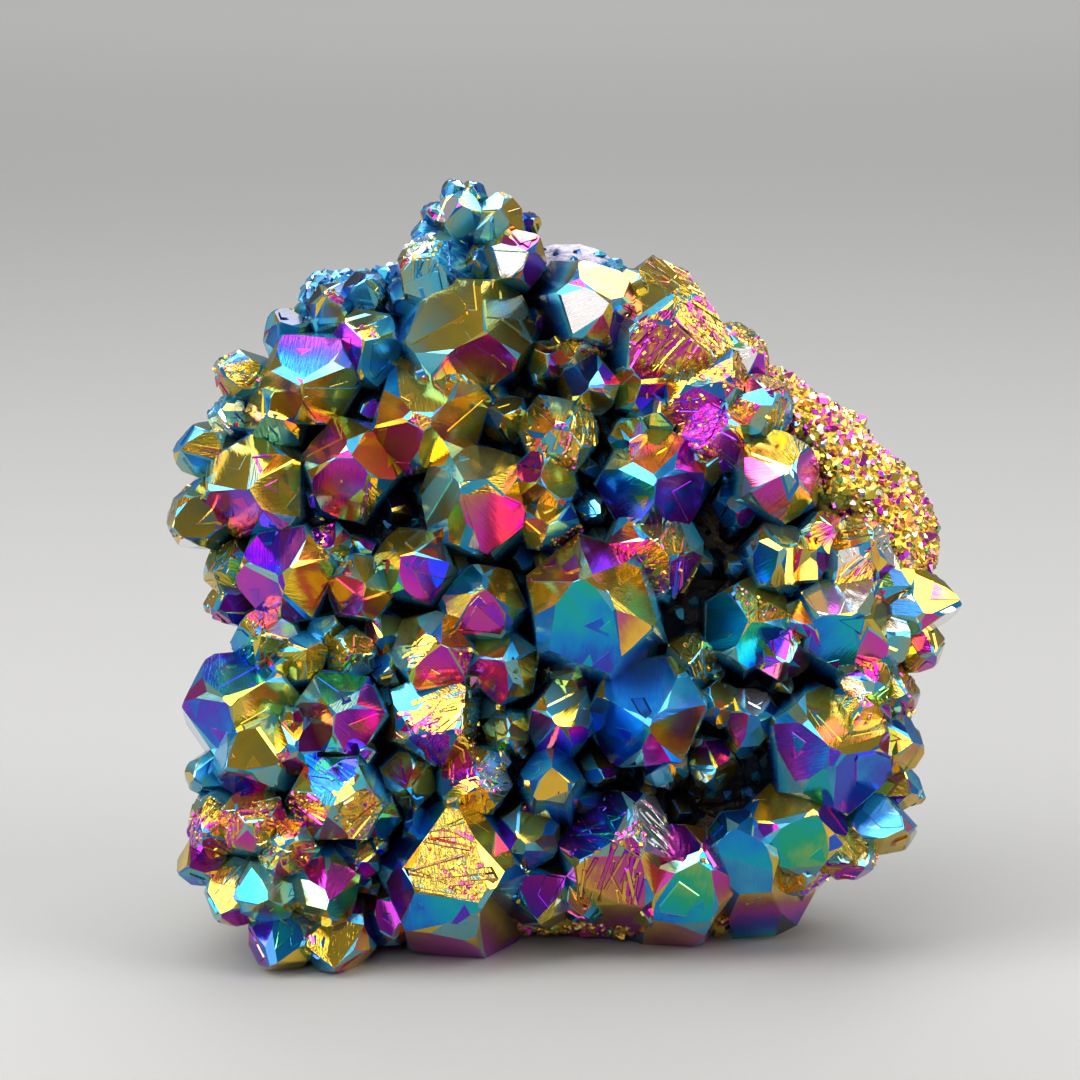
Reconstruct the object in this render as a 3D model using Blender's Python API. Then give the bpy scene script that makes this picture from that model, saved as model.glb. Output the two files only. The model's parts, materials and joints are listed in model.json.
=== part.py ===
"""Aura amethyst druzy: one crust of stubby quartz points on its broken rock, standing on edge.

Run with: blender --background --python part.py

The crust is laid out in its own plane, in millimetres: across to the right, up along the crust, and out
towards whoever looks at the points. The whole crust then leans back by LEAN_BACK and stands on the ground.
"""

import math
import random
from typing import NamedTuple

import bmesh
import bpy
from mathutils import Matrix, Vector, noise

# Driving dimensions, in millimetres and degrees
MM = 0.001
LEAN_BACK = 12.0
CENTRE_UP = 50.0
MIDDLE_OUT = -20.0
BACK_OUT = -38.5
BACK_THINNING = 0.075
CREST_OUT = -3.0
RIM_DROP = 5.5
HALF_WIDTH = 55.0
HALF_HEIGHT = 58.0
GAP_DEPTH = 8.0
ROCK_FACETS = 3
ROCK_ROUGHNESS = 1.1
BACK_ROUGHNESS = 2.6
POINT_LENGTH = 17.0
PRISM_TAPER = 6.0
RHOMB_SLOPE = 51.8
FACE_TURN = 16.0
TIP_HEIGHT = 1.02
MINOR_FACE = 0.16
FILLER_COUNT = 46
FILLER_SPREAD = 0.72
FILLER_SEED = 7
ROCK_SEED = 3
SUGAR_EDGE = 95.0
ORIGIN_ACROSS = 0.08
ORIGIN_DEPTH = 23.3

# The rock's outline seen from the front: direction in degrees from +across, and reach in millimetres
ROCK_OUTLINE = [
    (0, 50.5), (8, 53), (18, 53.5), (31, 48.5), (42, 45.5), (51, 44), (62, 43.5), (75, 47), (87, 50.5),
    (97, 50), (104, 54), (111, 52), (118, 53), (127, 57), (138, 51), (150, 47), (162, 45), (175, 44),
    (186, 45), (196, 49), (207, 54), (217, 58), (225, 60), (232, 57), (240, 50), (250, 46.5), (262, 45.5),
    (275, 45), (290, 48.5), (300, 51), (310, 52), (319, 53), (329, 53), (338, 51), (348, 49),
]

# Swells of the rock's front: across, up, spread across, spread up, and how far each stands out
ROCK_SWELLS = [
    (34, 78, 7, 7, 6), (42, 69, 7, 8, 7), (46, 58, 6, 7, 5), (-31, 93, 8, 6, 5), (-40, 87, 6, 5, 3),
    (2, 97, 7, 5, 5), (-42, 20, 8, 9, 6), (-34, 4, 9, 6, 6), (0, 8, 40, 5, 4), (38, 13, 8, 6, 4),
]

# Swells of the level that the points' shoulders reach, in the same form
CRUST_SWELLS = [(-38, 20, 16, 24, 7), (40, 36, 14, 20, 3), (-14, 100, 9, 9, 2)]


class Point(NamedTuple):
    """A quartz point: the middle of its outline, its radius, the way its axis leans across and up from
    straight out, the direction of one big rhomb face, and how far it stands out beyond its neighbours."""

    across: float
    up: float
    radius: float
    lean_across: float
    lean_up: float
    spin: float
    rise: float = 0.0
    chips: tuple = ()


# How the broad wedge at the top right is broken off: along the slope, at its top and at its right
WEDGE_CHIPS = ((1.7, 2.46, -2.4), (0.10, 0.55, -4.0), (0.55, -0.1, -4.5))

CROWN = [
    Point(-13.7, 104.2, 3.5, -4, 0, 280, 0),
    Point(-8.3, 103.6, 3.7, -2, 0, 250, 1),
    Point(-5.6, 98.0, 3.9, 4, -2, 200, 2),
    Point(-15.0, 108.0, 1.8, -8, 10, 280, -2),
    Point(-12.0, 107.6, 1.9, 0, 10, 260, -2),
    Point(-17.8, 104.6, 2.0, -10, 6, 330, -2),
    Point(-18.6, 101.6, 2.2, -8, 14, 20, -2),
    Point(-4.2, 103.4, 1.8, 8, 10, 220, -4),
    Point(-17.4, 97.4, 5.2, -10, 2, 250, 0),
    Point(-11.4, 97.6, 2.6, 0, 5, 30, -1),
    Point(-14.2, 92.6, 4.2, -10, 10, 215, -2),
    Point(-20.6, 93.0, 3.2, -12, 10, 130, -4),
]

TOP_RIGHT = [
    Point(5.6, 91.4, 5.8, 4, -2, 200, 3),
    Point(17.0, 90.0, 9.6, 16, 4, 262, 0, WEDGE_CHIPS),
    Point(10.6, 93.4, 4.2, 8, 14, 270, -3),
    Point(24.6, 86.0, 5.6, 24, 12, 240, -3, ((1.7, 2.46, -2.7),)),
    Point(2.4, 86.0, 3.6, 4, 20, 75, -1),
    Point(-1.8, 84.4, 3.1, 15, 0, 330, -2),
    Point(-2.0, 90.2, 3.6, 0, 20, 60, -5),
    Point(4.0, 80.4, 4.2, 14, 4, 40, 0),
    Point(11.4, 80.6, 4.7, -16, 4, 190, -1),
    Point(13.0, 76.8, 3.7, 0, -12, 260, -1),
    Point(20.4, 80.4, 6.4, 6, 2, 250, 0, ((-0.1, 0.6, -2.4),)),
    Point(21.6, 74.6, 5.4, 14, -8, 285, 1),
    Point(27.6, 77.6, 4.8, 6, 6, 200, 1),
    Point(19.6, 70.2, 3.6, 4, 6, 90, 0),
    Point(30.0, 68.4, 6.0, 4, -10, 240, 2),
    Point(24.0, 64.0, 3.1, -6, 10, 90, -2),
    Point(23.6, 60.6, 1.8, 0, 0, 60, -6),
]

TOP_LEFT = [
    Point(-34.8, 81.2, 6.9, -4, 14, 90, 0),
    Point(-26.8, 86.0, 5.3, -18, 4, 200, -1),
    Point(-11.4, 87.6, 8.6, -4, 8, 150, 2),
    Point(-18.0, 76.6, 7.8, -12, -12, 222, 1),
    Point(-15.2, 82.6, 5.4, -4, 0, 250, 0, ((0.2, 0.3, -1.5),)),
    Point(-28.7, 69.8, 6.9, -2, -6, 260, 0),
    Point(-42.0, 66.4, 7.2, -14, 10, 120, 1),
    Point(-39.4, 76.4, 4.4, -24, 8, 160, 0),
    Point(-45.3, 82.6, 3.4, -10, 12, 350, -1),
    Point(-46.0, 76.6, 3.0, -8, 8, 10, 0),
    Point(-50.0, 71.8, 3.8, -14, 4, 10, 0),
    Point(-51.0, 62.0, 4.3, -20, -10, 30, 0),
    Point(-45.8, 55.4, 3.8, -8, -4, 350, -2),
    Point(-46.0, 50.6, 3.2, -10, -4, 20, -4),
    Point(-38.0, 88.6, 3.4, -8, 6, 290, -4),
    Point(-31.6, 92.0, 3.4, -6, 6, 270, -2),
    Point(-27.0, 94.2, 3.0, 0, 8, 260, -3),
]

MIDDLE = [
    Point(-12.0, 65.2, 7.4, 0, -2, 310, 1),
    Point(-0.2, 73.8, 5.4, 0, -14, 262, 0, ((0.1, -0.45, -1.2),)),
    Point(-7.4, 76.4, 3.4, 0, 18, 80, -2),
    Point(-2.4, 67.4, 4.8, 12, 4, 15, 1),
    Point(-1.6, 61.8, 4.2, -12, -10, 200, 0),
    Point(-5.4, 53.8, 1.8, 0, 0, 60, -6),
    Point(4.6, 63.6, 2.4, 10, -4, 140, -3),
    Point(12.2, 67.2, 7.3, 0, 16, 90, 1),
    Point(4.6, 51.2, 9.0, -8, 2, 250, 4),
    Point(12.8, 57.8, 7.0, 22, -2, 335, 0),
    Point(-31.6, 58.2, 3.5, -10, -6, 225, -1),
    Point(-33.2, 62.8, 2.0, 0, 6, 40, -4),
    Point(-37.8, 54.6, 6.5, -6, 14, 100, 1),
    Point(-26.8, 53.2, 4.9, -14, -2, 200, 0),
    Point(-20.4, 56.4, 5.6, 2, 0, 320, 0),
    Point(-10.4, 51.4, 5.3, 0, 0, 265, 1),
    Point(-17.2, 44.4, 5.5, 2, -6, 280, 1),
    Point(-7.6, 42.4, 4.7, -6, -8, 230, 0),
    Point(-24.2, 46.6, 3.0, 4, -20, 300, -2),
    Point(-28.6, 43.8, 3.8, 8, 14, 60, -1),
    Point(-32.6, 43.8, 1.8, 0, 0, 60, -6),
    Point(-32.0, 46.6, 2.8, 0, 10, 100, -2),
    Point(-23.4, 42.0, 2.8, 14, 10, 30, -2),
    Point(-16.0, 35.2, 6.2, 12, -12, 238, 0, ((-0.25, 0.55, -2.2),)),
    Point(-7.4, 33.0, 3.2, 14, 0, 20, -1),
    Point(1.6, 41.0, 3.2, 0, -12, 270, -2),
    Point(0.2, 35.0, 4.9, 0, 14, 80, 0),
    Point(-1.2, 27.6, 4.2, 0, 10, 270, 1),
    Point(11.4, 36.0, 8.0, 12, -10, 335, 1),
    Point(-20.9, 26.6, 3.8, -4, 6, 130, -1),
    Point(-12.0, 26.6, 5.0, -8, 10, 145, 0),
    Point(-25.2, 22.2, 3.4, 6, 14, 80, -1),
    Point(-27.9, 16.2, 3.4, 8, 8, 60, -2),
    Point(-15.2, 15.4, 9.2, -8, 4, 265, 2, ((0.0, 0.32, -5.4),)),
    Point(-4.6, 18.6, 4.4, 4, 6, 60, -1),
]

RIGHT = [
    Point(17.8, 42.8, 3.9, -6, 10, 110, -2),
    Point(26.0, 48.4, 6.0, 8, -4, 300, 1),
    Point(30.4, 44.0, 3.9, 0, 4, 120, 1),
    Point(34.0, 47.4, 4.8, -4, -6, 230, 1),
    Point(39.6, 48.8, 7.2, 4, 0, 240, 2),
    Point(30.0, 57.6, 4.7, -10, 4, 200, 1),
    Point(33.4, 57.6, 3.8, 20, 0, 330, 1),
    Point(36.4, 60.4, 3.2, 0, 6, 200, 2),
    Point(40.8, 57.8, 4.9, 8, -2, 255, 2),
    Point(44.0, 53.4, 4.8, 44, -10, 270, 0),
    Point(50.6, 50.9, 4.4, 60, -16, 270, 1),
    Point(44.6, 46.2, 4.3, 44, -2, 250, 0),
    Point(49.6, 44.8, 3.8, 10, 0, 160, -1),
    Point(41.8, 40.0, 3.9, 10, 14, 80, 1),
    Point(46.0, 38.8, 3.8, 8, 4, 160, 0),
    Point(21.4, 37.0, 3.1, 8, 12, 60, -1),
    Point(26.4, 35.2, 4.0, -14, -2, 210, -1),
    Point(37.0, 31.2, 8.4, 14, -10, 310, 3),
    Point(40.6, 36.0, 4.9, 14, 26, 60, 1),
    Point(45.8, 31.6, 4.4, 8, 6, 170, 1),
    Point(14.4, 29.0, 3.6, 0, -18, 250, -2),
    Point(21.0, 28.4, 3.7, 4, 8, 80, -3),
    Point(32.8, 20.8, 6.8, 2, 0, 255, 2),
    Point(24.6, 17.8, 5.9, -12, 10, 270, 1),
    Point(8.6, 17.4, 8.4, 0, 4, 262, 0, ((-0.2, 0.8, -1.8),)),
    Point(17.6, 14.2, 6.6, 6, 2, 262, 1),
    Point(46.2, 25.4, 3.8, 10, 0, 160, 0),
    Point(45.2, 20.6, 4.6, 8, 0, 150, 1),
    Point(40.0, 16.2, 4.2, 16, 0, 110, 0),
    Point(33.2, 14.2, 4.4, 14, -8, 70, -1),
    Point(26.6, 12.6, 4.2, 14, -14, 60, -2),
]

FOOT = [
    Point(-40.2, 45.4, 4.9, -8, 22, 80, 0),
    Point(-35.2, 43.6, 3.8, 0, 4, 215, 0),
    Point(-43.6, 37.6, 7.8, -16, 0, 215, 1),
    Point(-30.2, 35.9, 6.3, -14, 0, 205, 1),
    Point(-42.6, 29.6, 5.4, -14, -4, 40, 3),
    Point(-36.0, 31.6, 4.0, -8, 6, 150, 2),
    Point(-48.6, 27.4, 3.2, -10, 2, 20, 1),
    Point(-30.6, 24.6, 6.2, 10, -10, 330, 2),
    Point(-47.0, 20.4, 4.6, -10, 4, 60, 2),
    Point(-41.4, 21.6, 4.6, -14, 2, 200, 3),
    Point(-37.2, 18.4, 4.2, 12, -14, 320, 2),
    Point(-49.0, 15.4, 3.8, -12, 0, 30, 0),
    Point(-44.4, 11.0, 4.6, -14, -2, 80, 1),
    Point(-39.6, 11.6, 4.6, -8, 2, 150, 2),
    Point(-32.2, 11.8, 4.9, -2, 4, 110, 1),
    Point(-38.4, 4.2, 4.9, -4, -12, 60, 1),
    Point(-30.6, 4.0, 4.9, 6, -10, 80, 1),
    Point(-23.4, 6.6, 3.4, 8, -16, 90, -2),
    Point(-2.8, 9.6, 4.6, 0, -14, 80, -2),
    Point(3.4, 9.2, 3.4, 0, -14, 100, -2),
    Point(12.0, 9.6, 4.2, 0, -16, 80, -2),
]

POINTS = CROWN + TOP_RIGHT + TOP_LEFT + MIDDLE + RIGHT + FOOT


def swell(swells, across, up):
    """The sum of the round swells at a place on the crust."""
    return sum(
        height * math.exp(-(((across - a) / wide) ** 2) - ((up - u) / tall) ** 2)
        for a, u, wide, tall, height in swells
    )


def shoulder_level(across, up):
    """How far out the points' shoulders stand at a place on the crust."""
    from_middle = (across / HALF_WIDTH) ** 2 + ((up - CENTRE_UP) / HALF_HEIGHT) ** 2
    return CREST_OUT - RIM_DROP * from_middle + swell(CRUST_SWELLS, across, up)


def rock_level(across, up):
    """How far out the rock's own face stands between the points."""
    from_middle = (across / HALF_WIDTH) ** 2 + ((up - CENTRE_UP) / HALF_HEIGHT) ** 2
    face = CREST_OUT - RIM_DROP * from_middle - GAP_DEPTH
    return face + swell(CRUST_SWELLS, across, up) + swell(ROCK_SWELLS, across, up)


def rock_reach(direction):
    """The rock outline's reach from its centre, along a direction in degrees."""
    direction %= 360
    ring = ROCK_OUTLINE + [(ROCK_OUTLINE[0][0] + 360, ROCK_OUTLINE[0][1])]
    for (start, near), (end, far) in zip(ring, ring[1:]):
        if start <= direction <= end:
            share = (direction - start) / (end - start)
            return near + (far - near) * (1 - math.cos(math.pi * share)) / 2
    return ring[0][1]


def point_frame(point):
    """The point's axis, leant away from its first big face, and two directions square to it."""
    lean = math.tan(math.radians(point.lean_across)), math.tan(math.radians(point.lean_up))
    turn, away = math.radians(point.spin), math.tan(math.radians(FACE_TURN))
    axis = Vector((lean[0] - away * math.cos(turn), lean[1] - away * math.sin(turn), 1)).normalized()
    side = Vector((1, 0, 0)) - axis * axis.x
    side.normalize()
    return Matrix((side, axis.cross(side), axis)).transposed()


def ring_normal(frame, azimuth, slope):
    """A direction that lies slope degrees from the axis, turned azimuth degrees round it."""
    turn, tilt = math.radians(azimuth), math.radians(slope)
    local = Vector((math.cos(turn) * math.sin(tilt), math.sin(turn) * math.sin(tilt), math.cos(tilt)))
    return frame @ local


def point_planes(point):
    """The flat faces that bound a point, each as a place on it and its outward direction."""
    frame = point_frame(point)
    axis = frame.col[2]
    chance = random.Random(round(point.across * 100) + round(point.up * 10000))
    shoulder = Vector((point.across, point.up, shoulder_level(point.across, point.up) + point.rise))
    tip = shoulder + axis * point.radius * TIP_HEIGHT
    planes = []
    for step in range(6):
        azimuth = point.spin + 60 * step
        side = ring_normal(frame, azimuth, 90 - PRISM_TAPER)
        reach = point.radius * chance.uniform(0.86, 1.02)
        planes.append((shoulder + ring_normal(frame, azimuth, 90) * reach, side))
        slant = ring_normal(frame, azimuth, RHOMB_SLOPE)
        if step % 2:
            planes.append((tip + slant * point.radius * MINOR_FACE * chance.uniform(0.2, 1.9), slant))
        else:
            planes.append((tip + slant * point.radius * chance.uniform(-0.10, 0.10), slant))
    for lean_across, lean_up, depth in point.chips:
        normal = Vector((lean_across, lean_up, 1)).normalized()
        planes.append((tip + normal * depth, normal))
    planes.append((shoulder - axis * POINT_LENGTH, -axis))
    return shoulder, planes


def cut_block(middle, size, planes):
    """A block cut back to a convex solid by flat planes."""
    solid = bmesh.new()
    bmesh.ops.create_cube(solid, size=size, matrix=Matrix.Translation(middle))
    for place, normal in planes:
        everything = solid.verts[:] + solid.edges[:] + solid.faces[:]
        cut = bmesh.ops.bisect_plane(
            solid, geom=everything, plane_co=place, plane_no=normal, clear_outer=True
        )
        rim = [item for item in cut["geom_cut"] if isinstance(item, bmesh.types.BMEdge)]
        if rim:
            bmesh.ops.holes_fill(solid, edges=rim)
    return solid


def filler_points():
    """Small points that grow in the gaps, deeper than their big neighbours."""
    chance = random.Random(FILLER_SEED)
    fillers = []
    while len(fillers) < FILLER_COUNT:
        direction = chance.uniform(0, 360)
        reach = rock_reach(direction) * math.sqrt(chance.uniform(0, FILLER_SPREAD))
        across = reach * math.cos(math.radians(direction))
        up = CENTRE_UP + reach * math.sin(math.radians(direction))
        radius = chance.uniform(1.5, 2.6)
        lean = (chance.uniform(-25, 25), chance.uniform(-25, 25))
        clear = all(
            math.hypot(across - other.across, up - other.up) > 0.8 * other.radius + 0.3 * radius
            for other in POINTS + fillers
        )
        if clear and across + up < SUGAR_EDGE:
            spin, rise = chance.uniform(0, 120), chance.uniform(-5.5, -2.5)
            fillers.append(Point(across, up, radius, *lean, spin, rise))
    return fillers


def rock_mesh():
    """The broken rock: a ball of flat facets, drawn out to the outline, the swollen front and the back."""
    rock = bmesh.new()
    noise.seed_set(ROCK_SEED)
    bmesh.ops.create_icosphere(rock, subdivisions=ROCK_FACETS, radius=1)
    for vertex in rock.verts:
        x, y, z = vertex.co
        direction = math.degrees(math.atan2(y, x))
        spread = math.sin(math.pi / 2 * min(1, math.hypot(x, y))) ** 0.9
        reach = rock_reach(direction) * spread
        across = reach * math.cos(math.radians(direction))
        up = CENTRE_UP + reach * math.sin(math.radians(direction))
        outer = rock_level(across, up) if z > 0 else BACK_OUT + BACK_THINNING * up
        out = MIDDLE_OUT + (outer - MIDDLE_OUT) * abs(z) ** 0.55
        place = Vector((across, up, out))
        rough = noise.noise_vector(place * 0.07) * 1.4 + noise.noise_vector(place * 0.2)
        amount = ROCK_ROUGHNESS + (BACK_ROUGHNESS - ROCK_ROUGHNESS) * max(0, -z)
        vertex.co = place + rough * amount
    bmesh.ops.recalc_face_normals(rock, faces=rock.faces)
    return rock


def crust_to_world():
    """Stands the crust's plane up: millimetres to metres, leant back, over the chosen origin."""
    lean = math.radians(LEAN_BACK)
    rise, back = math.cos(lean), math.sin(lean)
    turn = Matrix(((1, 0, 0), (0, back, -rise), (0, rise, back))).to_4x4()
    return Matrix.Translation((-ORIGIN_ACROSS * MM, -ORIGIN_DEPTH * MM, 0)) @ turn @ Matrix.Scale(MM, 4)


def collection_named(name):
    made = bpy.data.collections.new(name)
    bpy.context.scene.collection.children.link(made)
    return made


def object_from(solid, name, collection):
    """A mesh object standing in the world, from a solid laid out in the crust's plane."""
    solid.transform(crust_to_world())
    mesh = bpy.data.meshes.new(name)
    solid.to_mesh(mesh)
    solid.free()
    made = bpy.data.objects.new(name, mesh)
    collection.objects.link(made)
    return made


def make_helper(made):
    """Marks an object that is only joined to the druzy or cut from it."""
    made.hide_render = True
    made.display_type = "WIRE"


def aura_coating():
    """The metal film on the stone, in its commonest colour."""
    material = bpy.data.materials.new("aura_coating")
    material.use_nodes = True
    shader = material.node_tree.nodes["Principled BSDF"]
    shader.inputs["Base Color"].default_value = (0.42, 0.20, 0.42, 1)
    shader.inputs["Roughness"].default_value = 0.22
    shader.inputs["Metallic"].default_value = 0.85
    return material


def main():
    for old in list(bpy.data.objects):
        bpy.data.objects.remove(old)
    druzy_parts = collection_named("aura_amethyst_druzy")
    points = collection_named("points_to_join")
    cutters = collection_named("cutters")

    druzy = object_from(rock_mesh(), "amethyst_druzy", druzy_parts)
    druzy.data.materials.append(aura_coating())
    for number, point in enumerate(POINTS + filler_points()):
        middle, planes = point_planes(point)
        make_helper(object_from(cut_block(middle, 90, planes), f"point_{number:03d}", points))
    ground = bmesh.new()
    bmesh.ops.create_cube(ground, size=200, matrix=Matrix.Translation((0, 0, -100)))
    ground.transform(crust_to_world().inverted() @ Matrix.Scale(MM, 4))
    ground = object_from(ground, "ground_cutter", cutters)
    make_helper(ground)

    grow = druzy.modifiers.new("grow_points", "BOOLEAN")
    grow.operation = "UNION"
    grow.operand_type = "COLLECTION"
    grow.collection = points
    grow.solver = "EXACT"
    stand = druzy.modifiers.new("flat_foot", "BOOLEAN")
    stand.operation = "DIFFERENCE"
    stand.object = ground
    stand.solver = "EXACT"


main()
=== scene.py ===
"""The look of the aura amethyst druzy: growth steps, sugar and the colours of its thin metal film.

Sizes are millimetres in the crust's own plane: across to the right, up along the crust, and out towards
whoever looks at the points. crust_to_world turns them into the frame's metres.
"""

import json
import math
import random
from typing import NamedTuple

import bmesh
import bpy
from mathutils import Matrix, Vector, noise

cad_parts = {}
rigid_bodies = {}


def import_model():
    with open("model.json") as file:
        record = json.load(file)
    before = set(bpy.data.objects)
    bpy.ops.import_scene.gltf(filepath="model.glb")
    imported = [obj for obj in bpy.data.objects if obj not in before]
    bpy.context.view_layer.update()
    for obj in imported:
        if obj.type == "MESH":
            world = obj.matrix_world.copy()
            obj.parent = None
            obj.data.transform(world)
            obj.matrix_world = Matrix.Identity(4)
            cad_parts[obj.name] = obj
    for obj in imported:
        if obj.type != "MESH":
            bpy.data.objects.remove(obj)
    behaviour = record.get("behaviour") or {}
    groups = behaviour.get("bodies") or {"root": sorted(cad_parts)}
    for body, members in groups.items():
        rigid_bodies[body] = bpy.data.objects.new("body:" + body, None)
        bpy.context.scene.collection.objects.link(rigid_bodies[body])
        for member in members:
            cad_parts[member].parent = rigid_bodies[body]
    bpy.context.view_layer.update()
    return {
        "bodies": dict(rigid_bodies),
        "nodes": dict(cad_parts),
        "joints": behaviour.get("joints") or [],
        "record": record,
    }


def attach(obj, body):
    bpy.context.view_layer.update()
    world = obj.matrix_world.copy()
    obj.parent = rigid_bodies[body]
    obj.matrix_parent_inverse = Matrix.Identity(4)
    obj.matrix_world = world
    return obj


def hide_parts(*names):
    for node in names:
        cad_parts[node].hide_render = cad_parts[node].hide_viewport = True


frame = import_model()

DRUZY = "amethyst_druzy"
MM = 0.001

# The crust's plane, as part.py stands it
LEAN_BACK = 12.0
ORIGIN_ACROSS = 0.08
ORIGIN_DEPTH = 23.3
CENTRE_UP = 50.0
MIDDLE_OUT = -20.0
BACK_OUT = -38.5
BACK_THINNING = 0.075
CREST_OUT = -3.0
RIM_DROP = 5.5
HALF_WIDTH = 55.0
HALF_HEIGHT = 58.0
GAP_DEPTH = 8.0
ROCK_SEED = 3
ROCK_ROUGHNESS = 1.1
BACK_ROUGHNESS = 2.6

# The shape of a point
POINT_LENGTH = 17.0
PRISM_TAPER = 6.0
RHOMB_SLOPE = 51.8
FACE_TURN = 16.0
TIP_HEIGHT = 1.02
MINOR_FACE = 0.16
FILLER_COUNT = 46
FILLER_SPREAD = 0.72
FILLER_SEED = 7
SUGAR_EDGE = 95.0

# Where painted shade darkens the gaps, in millimetres below the shoulders, and the film along worn edges
PAINTED_SHADE_START = 1.5
PAINTED_SHADE_REACH = 3.8
OPEN_FOOT = 15.0
SIDE_PAINTED_SHADE = 0.40
FOOT_FILM = 0.36
EDGE_FILMS = (0.24, 0.29, 0.34, 0.39, 0.50)

# The camera and the ground
CAMERA_LENS = 120.0
CAMERA_DISTANCE = 487.0
CAMERA_LOOKS_DOWN = 12.0
LOOK_AT = (-2.8, 59.5, 0.0)

# Thickness of the film, as a share of the second green: each name is the colour it gives
# The palest film is given to faces where a highlight shows: a painted highlight, not a colour of the coat.
FILM = {
    "night": 0.03, "navy": 0.14, "blue": 0.25, "cyan": 0.33, "sage": 0.40, "olive": 0.475, "gold": 0.535,
    "orange": 0.59, "pink": 0.63, "magenta": 0.67, "purple": 0.72, "indigo": 0.80, "azure": 0.87,
    "teal": 0.90, "green": 0.935, "lime": 1.00, "white": 1.21,
}
FILM_TOP = 1.25

ROCK_OUTLINE = [
    (0, 50.5), (8, 53), (18, 53.5), (31, 48.5), (42, 45.5), (51, 44), (62, 43.5), (75, 47), (87, 50.5),
    (97, 50), (104, 54), (111, 52), (118, 53), (127, 57), (138, 51), (150, 47), (162, 45), (175, 44),
    (186, 45), (196, 49), (207, 54), (217, 58), (225, 60), (232, 57), (240, 50), (250, 46.5), (262, 45.5),
    (275, 45), (290, 48.5), (300, 51), (310, 52), (319, 53), (329, 53), (338, 51), (348, 49),
]
ROCK_SWELLS = [
    (34, 78, 7, 7, 6), (42, 69, 7, 8, 7), (46, 58, 6, 7, 5), (-31, 93, 8, 6, 5), (-40, 87, 6, 5, 3),
    (2, 97, 7, 5, 5), (-42, 20, 8, 9, 6), (-34, 4, 9, 6, 6), (0, 8, 40, 5, 4), (38, 13, 8, 6, 4),
]
CRUST_SWELLS = [(-38, 20, 16, 24, 7), (40, 36, 14, 20, 3), (-14, 100, 9, 9, 2)]


class Point(NamedTuple):
    """A quartz point. Its film names are the colours of its three large faces, the first one turned to spin
    and the others a third of a turn on each; rise is how far it stands out, rough how broken its growth is.
    sweep is how much the film thickens per radius, to the right and upwards."""

    across: float
    up: float
    radius: float
    lean_across: float
    lean_up: float
    spin: float
    film: str
    rise: float = 0.0
    rough: float = 0.3
    chips: tuple = ()
    sweep: tuple = ()


# How the broad wedge at the top right is broken off: along the slope, at its top and at its right
WEDGE_CHIPS = ((1.7, 2.46, -2.4, "olive"), (0.10, 0.55, -4.0, "olive"), (0.55, -0.1, -4.5, "orange"))

CROWN = [
    Point(-13.7, 104.2, 3.5, -4, 0, 280, "cyan sage white", 0, 0.2),
    Point(-8.3, 103.6, 3.7, -2, 0, 250, "sage gold cyan", 1, 0.2),
    Point(-5.6, 98.0, 3.9, 4, -2, 200, "white magenta purple", 2, 0.1),
    Point(-15.0, 108.0, 1.8, -8, 10, 280, "blue cyan navy", -2),
    Point(-12.0, 107.6, 1.9, 0, 10, 260, "cyan blue sage", -2),
    Point(-17.8, 104.6, 2.0, -10, 6, 330, "cyan blue blue", -2),
    Point(-18.6, 101.6, 2.2, -8, 14, 20, "blue cyan blue", -2),
    Point(-4.2, 103.4, 1.8, 8, 10, 220, "magenta gold purple", -4),
    Point(-17.4, 97.4, 5.2, -10, 2, 250, "sage cyan white", 0, 0.9),
    Point(-11.4, 97.6, 2.6, 0, 5, 30, "blue gold cyan", -1),
    Point(-14.2, 92.6, 4.2, -10, 10, 215, "cyan blue sage", -2, 0.6),
    Point(-20.6, 93.0, 3.2, -12, 10, 130, "sage blue cyan", -4),
]

TOP_RIGHT = [
    Point(5.6, 91.4, 5.8, 4, -2, 200, "white purple olive", 3, 0.4),
    Point(17.0, 90.0, 9.6, 16, 4, 262, "magenta magenta olive", 0, 0.8, WEDGE_CHIPS, (-0.02, 0.12)),
    Point(10.6, 93.4, 4.2, 8, 14, 270, "olive gold olive", -3),
    Point(24.6, 86.0, 5.6, 24, 12, 240, "white magenta olive", -3, 0.9, ((1.7, 2.46, -2.7, "gold"),)),
    Point(2.4, 86.0, 3.6, 4, 20, 75, "gold olive gold", -1, 0.9),
    Point(-1.8, 84.4, 3.1, 15, 0, 330, "orange gold olive", -2),
    Point(-2.0, 90.2, 3.6, 0, 20, 60, "navy blue purple", -5),
    Point(4.0, 80.4, 4.2, 14, 4, 40, "magenta navy gold", 0),
    Point(11.4, 80.6, 4.7, -16, 4, 190, "olive purple magenta", -1),
    Point(13.0, 76.8, 3.7, 0, -12, 260, "olive magenta blue", -1),
    Point(20.4, 80.4, 6.4, 6, 2, 250, "purple gold olive", 0, 1.0, ((-0.1, 0.6, -2.4, "orange"),)),
    Point(21.6, 74.6, 5.4, 14, -8, 285, "magenta gold purple", 1, 0.8),
    Point(27.6, 77.6, 4.8, 6, 6, 200, "magenta olive gold", 1, 0.9),
    Point(19.6, 70.2, 3.6, 4, 6, 90, "olive olive gold", 0),
    Point(30.0, 68.4, 6.0, 4, -10, 240, "magenta purple gold", 2, 0.5),
    Point(24.0, 64.0, 3.1, -6, 10, 90, "azure blue purple", -2),
    Point(23.6, 60.6, 1.8, 0, 0, 60, "navy blue navy", -6),
]

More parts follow.
